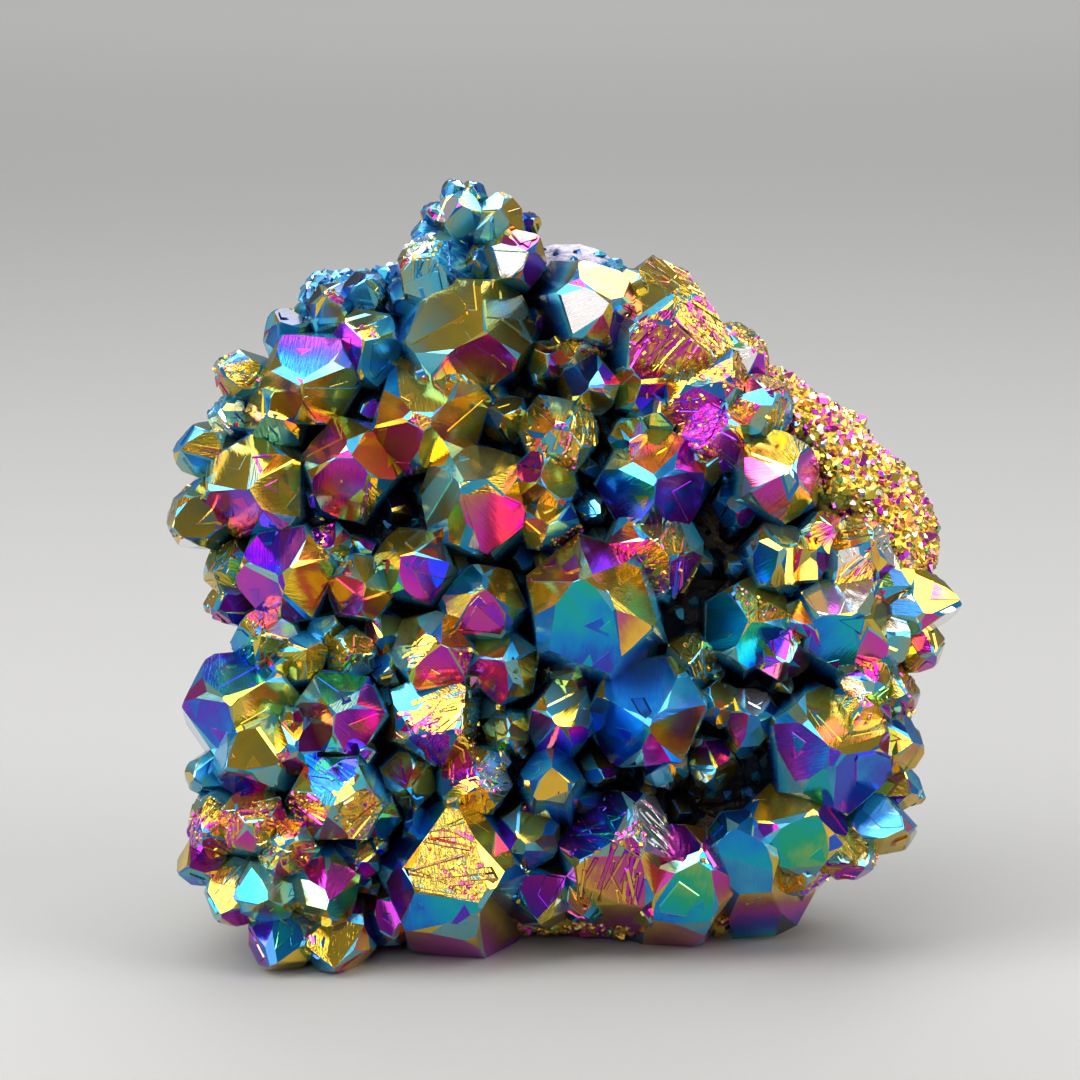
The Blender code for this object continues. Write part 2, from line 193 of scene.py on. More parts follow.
TOP_LEFT = [
    Point(-34.8, 81.2, 6.9, -4, 14, 90, "indigo gold olive", 0, 0.6),
    Point(-26.8, 86.0, 5.3, -18, 4, 200, "purple cyan olive", -1, 0.4),
    Point(-11.4, 87.6, 8.6, -4, 8, 150, "olive magenta olive", 2, 0.35),
    Point(-18.0, 76.6, 7.8, -12, -12, 222, "magenta orange gold", 1, 0.5),
    Point(-15.2, 82.6, 5.4, -4, 0, 250, "gold olive gold", 0, 1.0, ((0.2, 0.3, -1.5, "gold"),)),
    Point(-28.7, 69.8, 6.9, -2, -6, 260, "magenta gold orange", 0, 0.4),
    Point(-42.0, 66.4, 7.2, -14, 10, 120, "olive purple gold", 1, 0.6),
    Point(-39.4, 76.4, 4.4, -24, 8, 160, "gold cyan olive", 0),
    Point(-45.3, 82.6, 3.4, -10, 12, 350, "gold white orange", -1, 0.8),
    Point(-46.0, 76.6, 3.0, -8, 8, 10, "white cyan white", 0, 0.8),
    Point(-50.0, 71.8, 3.8, -14, 4, 10, "gold cyan sage", 0),
    Point(-51.0, 62.0, 4.3, -20, -10, 30, "olive gold white", 0),
    Point(-45.8, 55.4, 3.8, -8, -4, 350, "gold olive gold", -2, 0.8),
    Point(-46.0, 50.6, 3.2, -10, -4, 20, "purple gold magenta", -4),
    Point(-38.0, 88.6, 3.4, -8, 6, 290, "blue navy cyan", -4),
    Point(-31.6, 92.0, 3.4, -6, 6, 270, "cyan blue navy", -2),
    Point(-27.0, 94.2, 3.0, 0, 8, 260, "blue cyan navy", -3),
]

MIDDLE = [
    Point(-12.0, 65.2, 7.4, 0, -2, 310, "magenta olive olive", 1, 0.35),
    Point(-0.2, 73.8, 5.4, 0, -14, 262, "gold olive gold", 0, 1.0, ((0.1, -0.45, -1.2, "gold"),)),
    Point(-7.4, 76.4, 3.4, 0, 18, 80, "olive blue olive", -2),
    Point(-2.4, 67.4, 4.8, 12, 4, 15, "gold purple orange", 1, 0.6),
    Point(-1.6, 61.8, 4.2, -12, -10, 200, "gold cyan olive", 0),
    Point(-5.4, 53.8, 1.8, 0, 0, 60, "navy blue navy", -6),
    Point(4.6, 63.6, 2.4, 10, -4, 140, "cyan blue sage", -3),
    Point(12.2, 67.2, 7.3, 0, 16, 90, "gold azure purple", 1, 0.4),
    Point(4.6, 51.2, 9.0, -8, 2, 250, "teal gold orange", 4, 0.5),
    Point(12.8, 57.8, 7.0, 22, -2, 335, "purple gold orange", 0, 0.9),
    Point(-31.6, 58.2, 3.5, -10, -6, 225, "olive gold purple", -1, 0.8),
    Point(-33.2, 62.8, 2.0, 0, 6, 40, "blue navy blue", -4),
    Point(-37.8, 54.6, 6.5, -6, 14, 100, "indigo purple gold", 1, 0.4),
    Point(-26.8, 53.2, 4.9, -14, -2, 200, "pink gold olive", 0, 0.5),
    Point(-20.4, 56.4, 5.6, 2, 0, 320, "magenta olive orange", 0, 0.4),
    Point(-10.4, 51.4, 5.3, 0, 0, 265, "magenta orange teal", 1, 0.5),
    Point(-17.2, 44.4, 5.5, 2, -6, 280, "magenta gold olive", 1, 0.7),
    Point(-7.6, 42.4, 4.7, -6, -8, 230, "magenta gold olive", 0, 0.6),
    Point(-24.2, 46.6, 3.0, 4, -20, 300, "orange olive pink", -2),
    Point(-28.6, 43.8, 3.8, 8, 14, 60, "gold olive sage", -1, 0.8),
    Point(-32.6, 43.8, 1.8, 0, 0, 60, "navy blue navy", -6),
    Point(-32.0, 46.6, 2.8, 0, 10, 100, "cyan blue olive", -2),
    Point(-23.4, 42.0, 2.8, 14, 10, 30, "gold blue olive", -2),
    Point(-16.0, 35.2, 6.2, 12, -12, 238, "magenta gold olive", 0, 0.9, ((-0.25, 0.55, -2.2, "gold"),)),
    Point(-7.4, 33.0, 3.2, 14, 0, 20, "gold olive lime", -1),
    Point(1.6, 41.0, 3.2, 0, -12, 270, "orange olive olive", -2),
    Point(0.2, 35.0, 4.9, 0, 14, 80, "olive azure magenta", 0),
    Point(-1.2, 27.6, 4.2, 0, 10, 270, "gold blue cyan", 1, 0.1),
    Point(11.4, 36.0, 8.0, 12, -10, 335, "orange blue azure", 1, 0.2),
    Point(-20.9, 26.6, 3.8, -4, 6, 130, "orange olive gold", -1),
    Point(-12.0, 26.6, 5.0, -8, 10, 145, "pink gold white", 0, 1.0),
    Point(-25.2, 22.2, 3.4, 6, 14, 80, "gold purple azure", -1),
    Point(-27.9, 16.2, 3.4, 8, 8, 60, "olive blue purple", -2),
    Point(-15.2, 15.4, 9.2, -8, 4, 265, "teal gold azure", 2, 0.7, ((0.0, 0.32, -5.4, "gold"),)),
    Point(-4.6, 18.6, 4.4, 4, 6, 60, "olive purple cyan", -1),
]

RIGHT = [
    Point(17.8, 42.8, 3.9, -6, 10, 110, "gold blue olive", -2, 0.9),
    Point(26.0, 48.4, 6.0, 8, -4, 300, "teal gold teal", 1, 0.4, (), (-0.03, 0.0)),
    Point(30.4, 44.0, 3.9, 0, 4, 120, "purple orange magenta", 1, 0.6),
    Point(34.0, 47.4, 4.8, -4, -6, 230, "purple gold orange", 1, 0.7),
    Point(39.6, 48.8, 7.2, 4, 0, 240, "green gold white", 2, 0.3, (), (0.10, 0.02)),
    Point(30.0, 57.6, 4.7, -10, 4, 200, "teal gold sage", 1, 0.2),
    Point(33.4, 57.6, 3.8, 20, 0, 330, "purple gold magenta", 1, 0.6),
    Point(36.4, 60.4, 3.2, 0, 6, 200, "pink gold orange", 2, 0.9),
    Point(40.8, 57.8, 4.9, 8, -2, 255, "orange white gold", 2, 0.9),
    Point(44.0, 53.4, 4.8, 44, -10, 270, "gold olive lime", 0, 0.7),
    Point(50.6, 50.9, 4.4, 60, -16, 270, "white teal gold", 1, 0.3),
    Point(44.6, 46.2, 4.3, 44, -2, 250, "olive gold white", 0, 0.6),
    Point(49.6, 44.8, 3.8, 10, 0, 160, "pink purple gold", -1),
    Point(41.8, 40.0, 3.9, 10, 14, 80, "gold white lime", 1, 0.9),
    Point(46.0, 38.8, 3.8, 8, 4, 160, "gold pink orange", 0, 0.8),
    Point(21.4, 37.0, 3.1, 8, 12, 60, "olive blue gold", -1),
    Point(26.4, 35.2, 4.0, -14, -2, 210, "pink blue white", -1),
    Point(37.0, 31.2, 8.4, 14, -10, 310, "indigo gold indigo", 3, 0.5, (), (0.03, 0.0)),
    Point(40.6, 36.0, 4.9, 14, 26, 60, "gold olive orange", 1, 0.9),
    Point(45.8, 31.6, 4.4, 8, 6, 170, "gold orange blue", 1, 0.5),
    Point(14.4, 29.0, 3.6, 0, -18, 250, "sage white blue", -2),
    Point(21.0, 28.4, 3.7, 4, 8, 80, "magenta gold olive", -3),
    Point(32.8, 20.8, 6.8, 2, 0, 255, "green purple orange", 2, 0.4),
    Point(24.6, 17.8, 5.9, -12, 10, 270, "teal cyan teal", 1, 0.2),
    Point(8.6, 17.4, 8.4, 0, 4, 262, "pink white azure", 0, 0.8, ((-0.2, 0.8, -1.8, "pink"),), (0.09, -0.02)),
    Point(17.6, 14.2, 6.6, 6, 2, 262, "green magenta purple", 1, 0.4),
    Point(46.2, 25.4, 3.8, 10, 0, 160, "gold orange cyan", 0),
    Point(45.2, 20.6, 4.6, 8, 0, 150, "cyan gold pink", 1, 0.6),
    Point(40.0, 16.2, 4.2, 16, 0, 110, "gold purple pink", 0, 0.9),
    Point(33.2, 14.2, 4.4, 14, -8, 70, "pink gold purple", -1, 0.9),
    Point(26.6, 12.6, 4.2, 14, -14, 60, "purple gold magenta", -2, 0.9),
]

FOOT = [
    Point(-40.2, 45.4, 4.9, -8, 22, 80, "gold teal olive", 0, 0.8),
    Point(-35.2, 43.6, 3.8, 0, 4, 215, "olive gold cyan", 0),
    Point(-43.6, 37.6, 7.8, -16, 0, 215, "indigo olive teal", 1, 0.5, (), (0.04, -0.06)),
    Point(-30.2, 35.9, 6.3, -14, 0, 205, "cyan purple teal", 1, 0.5),
    Point(-42.6, 29.6, 5.4, -14, -4, 40, "gold cyan purple", 3, 0.6),
    Point(-36.0, 31.6, 4.0, -8, 6, 150, "gold magenta purple", 2, 0.7),
    Point(-48.6, 27.4, 3.2, -10, 2, 20, "cyan sage blue", 1),
    Point(-30.6, 24.6, 6.2, 10, -10, 330, "gold teal magenta", 2, 0.8),
    Point(-47.0, 20.4, 4.6, -10, 4, 60, "gold pink orange", 2, 1.0),
    Point(-41.4, 21.6, 4.6, -14, 2, 200, "pink gold purple", 3, 1.0),
    Point(-37.2, 18.4, 4.2, 12, -14, 320, "gold magenta olive", 2, 1.0),
    Point(-49.0, 15.4, 3.8, -12, 0, 30, "pink gold teal", 0, 0.5),
    Point(-44.4, 11.0, 4.6, -14, -2, 80, "olive teal magenta", 1, 0.7),
    Point(-39.6, 11.6, 4.6, -8, 2, 150, "teal olive cyan", 2, 0.7),
    Point(-32.2, 11.8, 4.9, -2, 4, 110, "purple gold teal", 1, 0.7),
    Point(-38.4, 4.2, 4.9, -4, -12, 60, "teal purple gold", 1, 0.7),
    Point(-30.6, 4.0, 4.9, 6, -10, 80, "gold teal orange", 1, 0.6),
    Point(-23.4, 6.6, 3.4, 8, -16, 90, "purple blue olive", -2),
    Point(-2.8, 9.6, 4.6, 0, -14, 80, "purple indigo gold", -2),
    Point(3.4, 9.2, 3.4, 0, -14, 100, "orange purple azure", -2),
    Point(12.0, 9.6, 4.2, 0, -16, 80, "magenta olive purple", -2),
]

GROUPS = {
    "crown_points": CROWN, "top_right_points": TOP_RIGHT, "top_left_points": TOP_LEFT,
    "middle_points": MIDDLE, "right_points": RIGHT, "foot_points": FOOT,
}


def crust_to_world():
    """Stands the crust's plane up: millimetres to metres, leant back, over the frame's origin."""
    lean = math.radians(LEAN_BACK)
    turn = Matrix(((1, 0, 0), (0, math.sin(lean), -math.cos(lean)), (0, math.cos(lean), math.sin(lean)))).to_4x4()
    return Matrix.Translation((-ORIGIN_ACROSS * MM, -ORIGIN_DEPTH * MM, 0)) @ turn @ Matrix.Scale(MM, 4)


STAND = crust_to_world()
GROUND_DOWN = Vector((0, -math.cos(math.radians(LEAN_BACK)), -math.sin(math.radians(LEAN_BACK))))


def swell(swells, across, up):
    """The sum of the round swells at a place on the crust."""
    return sum(
        height * math.exp(-(((across - a) / wide) ** 2) - ((up - u) / tall) ** 2)
        for a, u, wide, tall, height in swells
    )


def from_middle(across, up):
    return (across / HALF_WIDTH) ** 2 + ((up - CENTRE_UP) / HALF_HEIGHT) ** 2


def shoulder_level(across, up):
    """How far out the points' shoulders stand at a place on the crust."""
    return CREST_OUT - RIM_DROP * from_middle(across, up) + swell(CRUST_SWELLS, across, up)


def rock_level(across, up):
    """How far out the rock's own face stands between the points."""
    return shoulder_level(across, up) - GAP_DEPTH + swell(ROCK_SWELLS, across, up)


def rock_reach(direction):
    """The rock outline's reach from its centre, along a direction in degrees."""
    direction %= 360
    ring = ROCK_OUTLINE + [(ROCK_OUTLINE[0][0] + 360, ROCK_OUTLINE[0][1])]
    for (start, near), (end, far) in zip(ring, ring[1:]):
        if start <= direction <= end:
            share = (direction - start) / (end - start)
            return near + (far - near) * (1 - math.cos(math.pi * share)) / 2
    return ring[0][1]


def point_frame(point):
    """The point's axis, leant away from its first big face, and two directions square to it."""
    lean = math.tan(math.radians(point.lean_across)), math.tan(math.radians(point.lean_up))
    turn, away = math.radians(point.spin), math.tan(math.radians(FACE_TURN))
    axis = Vector((lean[0] - away * math.cos(turn), lean[1] - away * math.sin(turn), 1)).normalized()
    side = Vector((1, 0, 0)) - axis * axis.x
    side.normalize()
    return Matrix((side, axis.cross(side), axis)).transposed()


def ring_normal(frame, azimuth, slope):
    """A direction that lies slope degrees from the axis, turned azimuth degrees round it."""
    turn, tilt = math.radians(azimuth), math.radians(slope)
    local = Vector((math.cos(turn) * math.sin(tilt), math.sin(turn) * math.sin(tilt), math.cos(tilt)))
    return frame @ local


class Face(NamedTuple):
    """One flat face of a point before it is cut: where it lies, its film, and how broken it is."""

    place: Vector
    normal: Vector
    film: float
    broken: float
    kind: str


SIDE_FILM = 0.40
CRUMBLED_SHARE = 0.4


def films_of(point):
    """The film on the three large faces and the three small ones between them."""
    large = [FILM[name] for name in point.film.split()]
    chance = random.Random(point.film + str(point.up))
    small = []
    for step in range(3):
        lower = min(large[step], large[(step + 1) % 3], FILM["lime"])
        small.append(lower + chance.choice((-0.10, -0.06, 0.07, 0.12)))
    return large, small


def point_faces(point):
    """The flat faces that bound a point, its shoulder and its tip."""
    frame = point_frame(point)
    axis = frame.col[2]
    chance = random.Random(round(point.across * 100) + round(point.up * 10000))
    wear = random.Random(point.film + str(point.across))
    shoulder = Vector((point.across, point.up, shoulder_level(point.across, point.up) + point.rise))
    tip = shoulder + axis * point.radius * TIP_HEIGHT
    large, small = films_of(point)
    faces = []
    for step in range(6):
        azimuth = point.spin + 60 * step
        side = ring_normal(frame, azimuth, 90 - PRISM_TAPER)
        reach = point.radius * chance.uniform(0.86, 1.02)
        place = shoulder + ring_normal(frame, azimuth, 90) * reach
        faces.append(Face(place, side, SIDE_FILM + 0.05 * math.sin(math.radians(azimuth)), 0.15, "side"))
        slant = ring_normal(frame, azimuth, RHOMB_SLOPE)
        if step % 2:
            place = tip + slant * point.radius * MINOR_FACE * chance.uniform(0.2, 1.9)
            faces.append(Face(place, slant, small[step // 2], 0.25 * point.rough, "small"))
        else:
            place = tip + slant * point.radius * chance.uniform(-0.10, 0.10)
            crumbled = point.rough >= 0.8 and wear.random() < CRUMBLED_SHARE
            faces.append(Face(place, slant, large[step // 2], 1.0 if crumbled else 0.35 * point.rough, "large"))
    for lean_across, lean_up, depth, film in point.chips:
        normal = Vector((lean_across, lean_up, 1)).normalized()
        faces.append(Face(tip + normal * depth, normal, FILM[film], 1.0, "chip"))
    faces.append(Face(shoulder - axis * POINT_LENGTH, -axis, 0.0, 0.0, "root"))
    return faces, shoulder, tip, frame


def cut_block(middle, size, faces):
    """A block cut back to a convex solid by flat faces; each face of it remembers which one made it."""
    solid = bmesh.new()
    bmesh.ops.create_cube(solid, size=size, matrix=Matrix.Translation(middle))
    maker = solid.faces.layers.int.new("maker")
    for number, face in enumerate(faces):
        cut_away(solid, maker, number + 1, face.place, face.normal)
    return solid, maker


def cut_away(solid, maker, number, place, normal):
    """Cuts off what lies beyond one flat face, and fills the cut with a face of that number."""
    if all((vertex.co - place).dot(normal) < 0.00001 for vertex in solid.verts):
        return
    everything = solid.verts[:] + solid.edges[:] + solid.faces[:]
    cut = bmesh.ops.bisect_plane(solid, geom=everything, plane_co=place, plane_no=normal, clear_outer=True)
    rim = [item for item in cut["geom_cut"] if isinstance(item, bmesh.types.BMEdge)]
    if rim:
        for face in bmesh.ops.holes_fill(solid, edges=rim)["faces"]:
            face[maker] = number


def worn_edges(solid, maker, faces, chance, width):
    """One thin flat along each edge between growth faces, wider in places where the edge is chipped."""
    found = []
    if not width:
        return found
    for edge in solid.edges:
        if len(edge.link_faces) < 2 or edge.calc_length() < width * 2:
            continue
        pair = [faces[face[maker] - 1] for face in edge.link_faces]
        if any(face.kind == "root" for face in pair) or pair[0].normal.dot(pair[1].normal) > 0.97:
            continue
        normal = (pair[0].normal + pair[1].normal).normalized()
        depth = width * (0.5 + 1.4 * chance.random() ** 4)
        tilt = Vector([chance.uniform(-0.14, 0.14) for _ in range(3)])
        film = chance.choice(EDGE_FILMS) + chance.uniform(-0.02, 0.02)
        place = (edge.verts[0].co + edge.verts[1].co) / 2 - normal * depth
        found.append(Face(place, (normal + tilt).normalized(), film, 0.2, "edge"))
    return found


def gloom_at(place, extra_shade=0.0):
    """The painted shade at a place, from how deep in the gaps it lies: below 0 over the points' shoulders, over 1 in
    the darkest gaps, and less of it round the rim and along the foot.
    """
    depth = (shoulder_level(place.x, place.y) - place.z - PAINTED_SHADE_START) / PAINTED_SHADE_REACH
    return (depth + extra_shade) * (1 - 0.94 * max(openness_of_rim(place), openness_of_foot(place)))


def openness_of_rim(place):
    """1 round the edge of the crust, where the points' sides are seen from behind and get less painted shade, and 0
    within it.
    """
    return min(1, max(0, (from_middle(place.x, place.y) - 0.50) / 0.28))


def openness_of_foot(place):
    """1 along the lower edge, where the gaps lie open to the light, and 0 above it."""
    return min(1, max(0, 1.4 - 1.4 * place.y / OPEN_FOOT))


class Pile:
    """Collects flat faces of many points, with what the film's material reads at every corner."""

    def __init__(self):
        self.places = []
        self.faces = []
        self.film = []
        self.facet = []
        self.broken = []
        self.crumbs = []
        self.gloom = []

    def add_face(self, corners, normal, film_at, broken, upward, extra_shade=0.0):
        """Adds one flat face; film_at gives the film at a place, upward is the way its striae run, and the last
        argument adds painted shade over what the depth gives.
        """
        start = len(self.places)
        self.places.extend(corners)
        self.faces.append(tuple(range(start, start + len(corners))))
        along = (upward - normal * upward.dot(normal)).normalized()
        across = normal.cross(along)
        mark = (len(self.faces) * 7.31) % 997
        for corner in corners:
            self.film.append(film_at(corner))
            self.facet.append((corner.dot(across), corner.dot(along), mark))
            self.broken.append(broken)
            self.crumbs.append(float(broken > 0.9 and film_at(corner) > 0.3))
            # Painted shade at each corner, which the materials mix towards near-black.
            self.gloom.append(gloom_at(corner, extra_shade))

    def add_solid(self, solid, maker, faces, film_at, axis):
        for face in solid.faces:
            made_by = faces[face[maker] - 1]
            corners = [vertex.co.copy() for vertex in face.verts]
            if made_by.kind in ("root", "ground") or len(corners) < 3:
                broken = 1.0
            else:
                broken = made_by.broken
            upward = axis if abs(made_by.normal.dot(axis)) < 0.98 else Vector((0, 1, 0))
            # Prism sides get extra painted shade.
            extra_shade = SIDE_PAINTED_SHADE if made_by.kind == "side" else 0.0
            self.add_face(corners, face.normal.copy(), lambda place: film_at(place, made_by), broken, upward, extra_shade)

    def make(self, name, material, stand=STAND):
        mesh = bpy.data.meshes.new(name)
        mesh.from_pydata([stand @ place for place in self.places], [], self.faces)
        mesh.attributes.new("film", "FLOAT", "CORNER").data.foreach_set("value", self.film)
        mesh.attributes.new("broken", "FLOAT", "CORNER").data.foreach_set("value", self.broken)
        mesh.attributes.new("gloom", "FLOAT", "CORNER").data.foreach_set("value", self.gloom)
        mesh.attributes.new("crumbs", "FLOAT", "CORNER").data.foreach_set("value", self.crumbs)
        flat = [value for triple in self.facet for value in triple]
        mesh.attributes.new("facet", "FLOAT_VECTOR", "CORNER").data.foreach_set("vector", flat)
        joined = bmesh.new()
        joined.from_mesh(mesh)
        bmesh.ops.remove_doubles(joined, verts=joined.verts, dist=0.000002)
        joined.to_mesh(mesh)
        joined.free()
        mesh.materials.append(material)
        made = bpy.data.objects.new(name, mesh)
        bpy.context.scene.collection.objects.link(made)
        return made


# How fast the film thins with depth: partly a thinner coat, partly painted shade on the sides and lower faces.
DEPTH_FADE = 0.055
FACE_FADE = 0.045
SUNK_FADE = 0.008
EDGE_WIDTH = 0.075
FILM_SWEEPS = (0.04, 0.05, 0.06, 0.14)
STEP_WALLS = (-0.10, -0.07, -0.05, 0.08)
PALEST_GREEN = 0.97
THINNEST_HIGHLIGHT_FILM = 1.13


def film_rule(point, shoulder, tip, frame, chance):
    """How the film thins from the tip towards the gaps, partly a thinner coat and partly painted shade, as its colour
    runs to near-black: a rule that gives the film at a place on a face.
    """
    axis = frame.col[2]
    sweep = Vector([chance.uniform(-1, 1) for _ in range(3)]) * chance.choice(FILM_SWEEPS) / point.radius
    if point.sweep:
        sweep = Vector((*point.sweep, 0)) / point.radius
    crest = shoulder_level(point.across, point.up) + point.rise

    def film_at(place, face):
        if face.kind in ("root", "ground"):
            return 0.0
        below_tip = max(0.0, (tip - place).dot(axis)) / point.radius
        sunk = max(0.0, crest - place.z)
        level = face.film + sweep.dot(place - shoulder)
        if face.kind == "side":
            foot = openness_of_foot(place)
            closed = 1 - max(foot, 0.8 * openness_of_rim(place))
            return level - DEPTH_FADE * sunk * closed + FOOT_FILM * foot
        if face.kind == "edge":
            return face.film - 0.5 * DEPTH_FADE * max(0.0, sunk - 1)
        # Faces with the palest film keep it into the gaps, so their painted highlight stays.
        if face.film > THINNEST_HIGHLIGHT_FILM:
            return max(THINNEST_HIGHLIGHT_FILM, level)
        return min(PALEST_GREEN, level - FACE_FADE * max(0.0, below_tip - 0.35) - SUNK_FADE * sunk)

    return film_at


def grow_body(pile, point, faces, shoulder, frame, film_at, chance, edge_width):
    """Cuts one convex crystal body, wears its edges and adds it to the pile."""
    ground = Face(Vector((0, 0, 0)), GROUND_DOWN, 0.0, 0.0, "ground")
    bounds = faces + [ground]
    solid, maker = cut_block(shoulder, 90, bounds)
    if not solid.faces:
        solid.free()
        return []
    edges = worn_edges(solid, maker, bounds, chance, edge_width)
    for number, edge in enumerate(edges):
        cut_away(solid, maker, len(bounds) + number + 1, edge.place, edge.normal)
    bounds = bounds + edges
    pile.add_solid(solid, maker, bounds, film_at, frame.col[2])
    shown = [
        ([vertex.co.copy() for vertex in face.verts], bounds[face[maker] - 1])
        for face in solid.faces
        if bounds[face[maker] - 1].kind in ("large", "small", "chip")
    ]
    solid.free()
    return shown


def corner_chips(point, faces, shoulder, frame, chance):
    """Small breaks at the tip and the corners of a point; the rougher the point, the more of them."""
    solid, maker = cut_block(shoulder, 90, faces)
    axis = frame.col[2]
    corners = [vertex.co.copy() for vertex in solid.verts if (vertex.co - shoulder).dot(axis) > -0.3 * point.radius]
    solid.free()
    films = [FILM[name] for name in point.film.split()]
    chips = []
    for _ in range(round(point.rough * 2.5 + chance.uniform(-0.3, 1.0))):
        normal = ring_normal(frame, chance.uniform(0, 360), chance.uniform(8, 78))
        reach = max(corner.dot(normal) for corner in corners)
        depth = point.radius * chance.uniform(0.04, 0.15)
        film = chance.choice((films[0] - 0.06, films[1], FILM["gold"], FILM["pink"], FILM["sage"]))
        broken = chance.choice((0.3, 1.0, 1.0))
        chips.append(Face(normal * (reach - depth), normal, film, broken, "chip"))
    return chips


def growth_plates(pile, point, faces, shoulder, tip, frame, film_at, chance):
    """Thin growth steps: copies of the body with one large face moved out and the others drawn in."""
    large = [number for number, face in enumerate(faces) if face.kind == "large"]
    for number in large:
        for _ in range(chance.choice((0, 1, 1, 2) if point.rough < 0.35 else (0, 1, 2, 2))):
            step = chance.uniform(0.07, 0.26)
            shift = chance.uniform(-0.07, 0.07)
            wall = faces[number].film + chance.choice(STEP_WALLS)
            plate = []
            for other, face in enumerate(faces):
                if other == number:
                    plate.append(face._replace(place=face.place + face.normal * step, film=face.film + shift))
                elif face.kind == "root":
                    plate.append(face._replace(place=shoulder - frame.col[2] * point.radius * 0.8))
                else:
                    inset = point.radius * chance.choice((0.02, 0.05, 0.12, 0.3, 0.5)) + 0.03
                    plate.append(face._replace(place=face.place - face.normal * inset, film=wall, broken=0.3))
            grow_body(pile, point, plate, shoulder, frame, film_at, chance, 0.0)


def satellites(pile, point, shoulder, tip, frame, chance):
    """Small points that grow parallel to a large one, on its shoulders."""
    count = chance.choice((0, 0, 0, 1))
    for _ in range(count):
        turn = math.radians(chance.uniform(0, 360))
        out = frame.col[0] * math.cos(turn) + frame.col[1] * math.sin(turn)
        radius = point.radius * chance.uniform(0.22, 0.45)
        place = shoulder + out * point.radius * chance.uniform(0.72, 0.98)
        rise = point.rise - chance.uniform(-0.15, 0.35) * point.radius + (place.z - shoulder.z)
        rise += shoulder_level(point.across, point.up) - shoulder_level(place.x, place.y)
        small = point._replace(across=place.x, up=place.y, radius=radius, rise=rise, chips=())
        grow_point(pile, small, chance, plain=True)


def place_on(corners, chance):
    """A random place on a flat face."""
    middle = sum(corners, Vector()) / len(corners)
    fans = [(corners[i - 1], corners[i], middle) for i in range(len(corners))]
    sizes = [(b - a).cross(c - a).length for a, b, c in fans]
    a, b, c = chance.choices(fans, weights=sizes)[0]
    s, t = sorted((chance.random(), chance.random()))
    return a * s + b * (t - s) + c * (1 - t), sum(sizes) / 2


def relief(pile, shown, faces, point, frame, film_at, chance):
    """Low three-cornered growth hills on the large faces, and ridges that fan across the broken ones."""
    axis = frame.col[2]
    for corners, face in shown:
        if len(corners) < 3 or face.kind == "small":
            continue
        others = [other for other in faces if other is not face and other.kind != "root"]
        ridged = face.broken > 0.9 or point.rough >= 0.8
        area = place_on(corners, chance)[1]
        count = min(24, int(area * 0.5)) if ridged else min(4, int(area * point.rough * 0.08))
        down = (face.normal * axis.dot(face.normal) - axis).normalized()
        fan_turn = chance.uniform(-60, 60)
        for _ in range(count):
            peak = place_on(corners, chance)[0]
            turn = math.radians(fan_turn + chance.gauss(0, 13)) if ridged else chance.uniform(-0.1, 0.1)
            along = Matrix.Rotation(turn, 3, face.normal) @ down
            across = face.normal.cross(along)
            if ridged:
                reach = point.radius * chance.uniform(0.15, 0.8)
                wide = chance.uniform(0.10, 0.42)
                sides = [(across, wide), (-across, wide), (along, reach), (-along, reach * 0.5)]
                lift = chance.uniform(0.06, 0.24)
            else:
                reach = point.radius * chance.uniform(0.15, 0.45)
                wide = chance.uniform(0.4, 0.8)
                left, right = (-across - along * wide).normalized(), (across - along * wide).normalized()
                sides = [(along, reach), (left, 0), (right, 0)]
                lift = chance.uniform(0.012, 0.04)
            raise_patch(pile, face, others, peak, sides, lift, axis, film_at, chance)


def raise_patch(pile, face, others, peak, sides, lift, axis, film_at, chance):
    """Raises one flat patch of a face between sloping walls; the crystal's other faces end it too."""
    slope = chance.uniform(0.3, 1.1)
    edge_film = chance.choice((face.film - 0.12, face.film - 0.06, face.film + 0.07, face.film + 0.07))
    top = face._replace(place=face.place + face.normal * lift, film=face.film + chance.uniform(-0.10, 0.08))
    patch = [top, Face(face.place - face.normal * 0.3, -face.normal, 0.0, 0.0, "root")]
    patch.append(Face(Vector((0, 0, 0)), GROUND_DOWN, 0.0, 0.0, "ground"))
    for out, reach in sides:
        patch.append(Face(peak + out * reach, (out + face.normal * slope).normalized(), edge_film, 0.3, "wall"))
    patch += [other._replace(place=other.place - other.normal * 0.05) for other in others]
    solid, maker = cut_block(peak, 30, patch)
    pile.add_solid(solid, maker, patch, film_at, axis)
    solid.free()


def grow_point(pile, point, chance, plain=False):
    """Adds a whole point to the pile: its body, and unless it is plain its steps, hills and side points."""
    faces, shoulder, tip, frame = point_faces(point)
    film_at = film_rule(point, shoulder, tip, frame, chance)
    width = EDGE_WIDTH if point.radius > 3 else 0.08
    if not plain:
        faces[-1:-1] = corner_chips(point, faces, shoulder, frame, chance)
    shown = grow_body(pile, point, faces, shoulder, frame, film_at, chance, width)
    if plain:
        return
    growth_plates(pile, point, faces, shoulder, tip, frame, film_at, chance)
    satellites(pile, point, shoulder, tip, frame, chance)
    relief(pile, shown, faces, point, frame, film_at, chance)


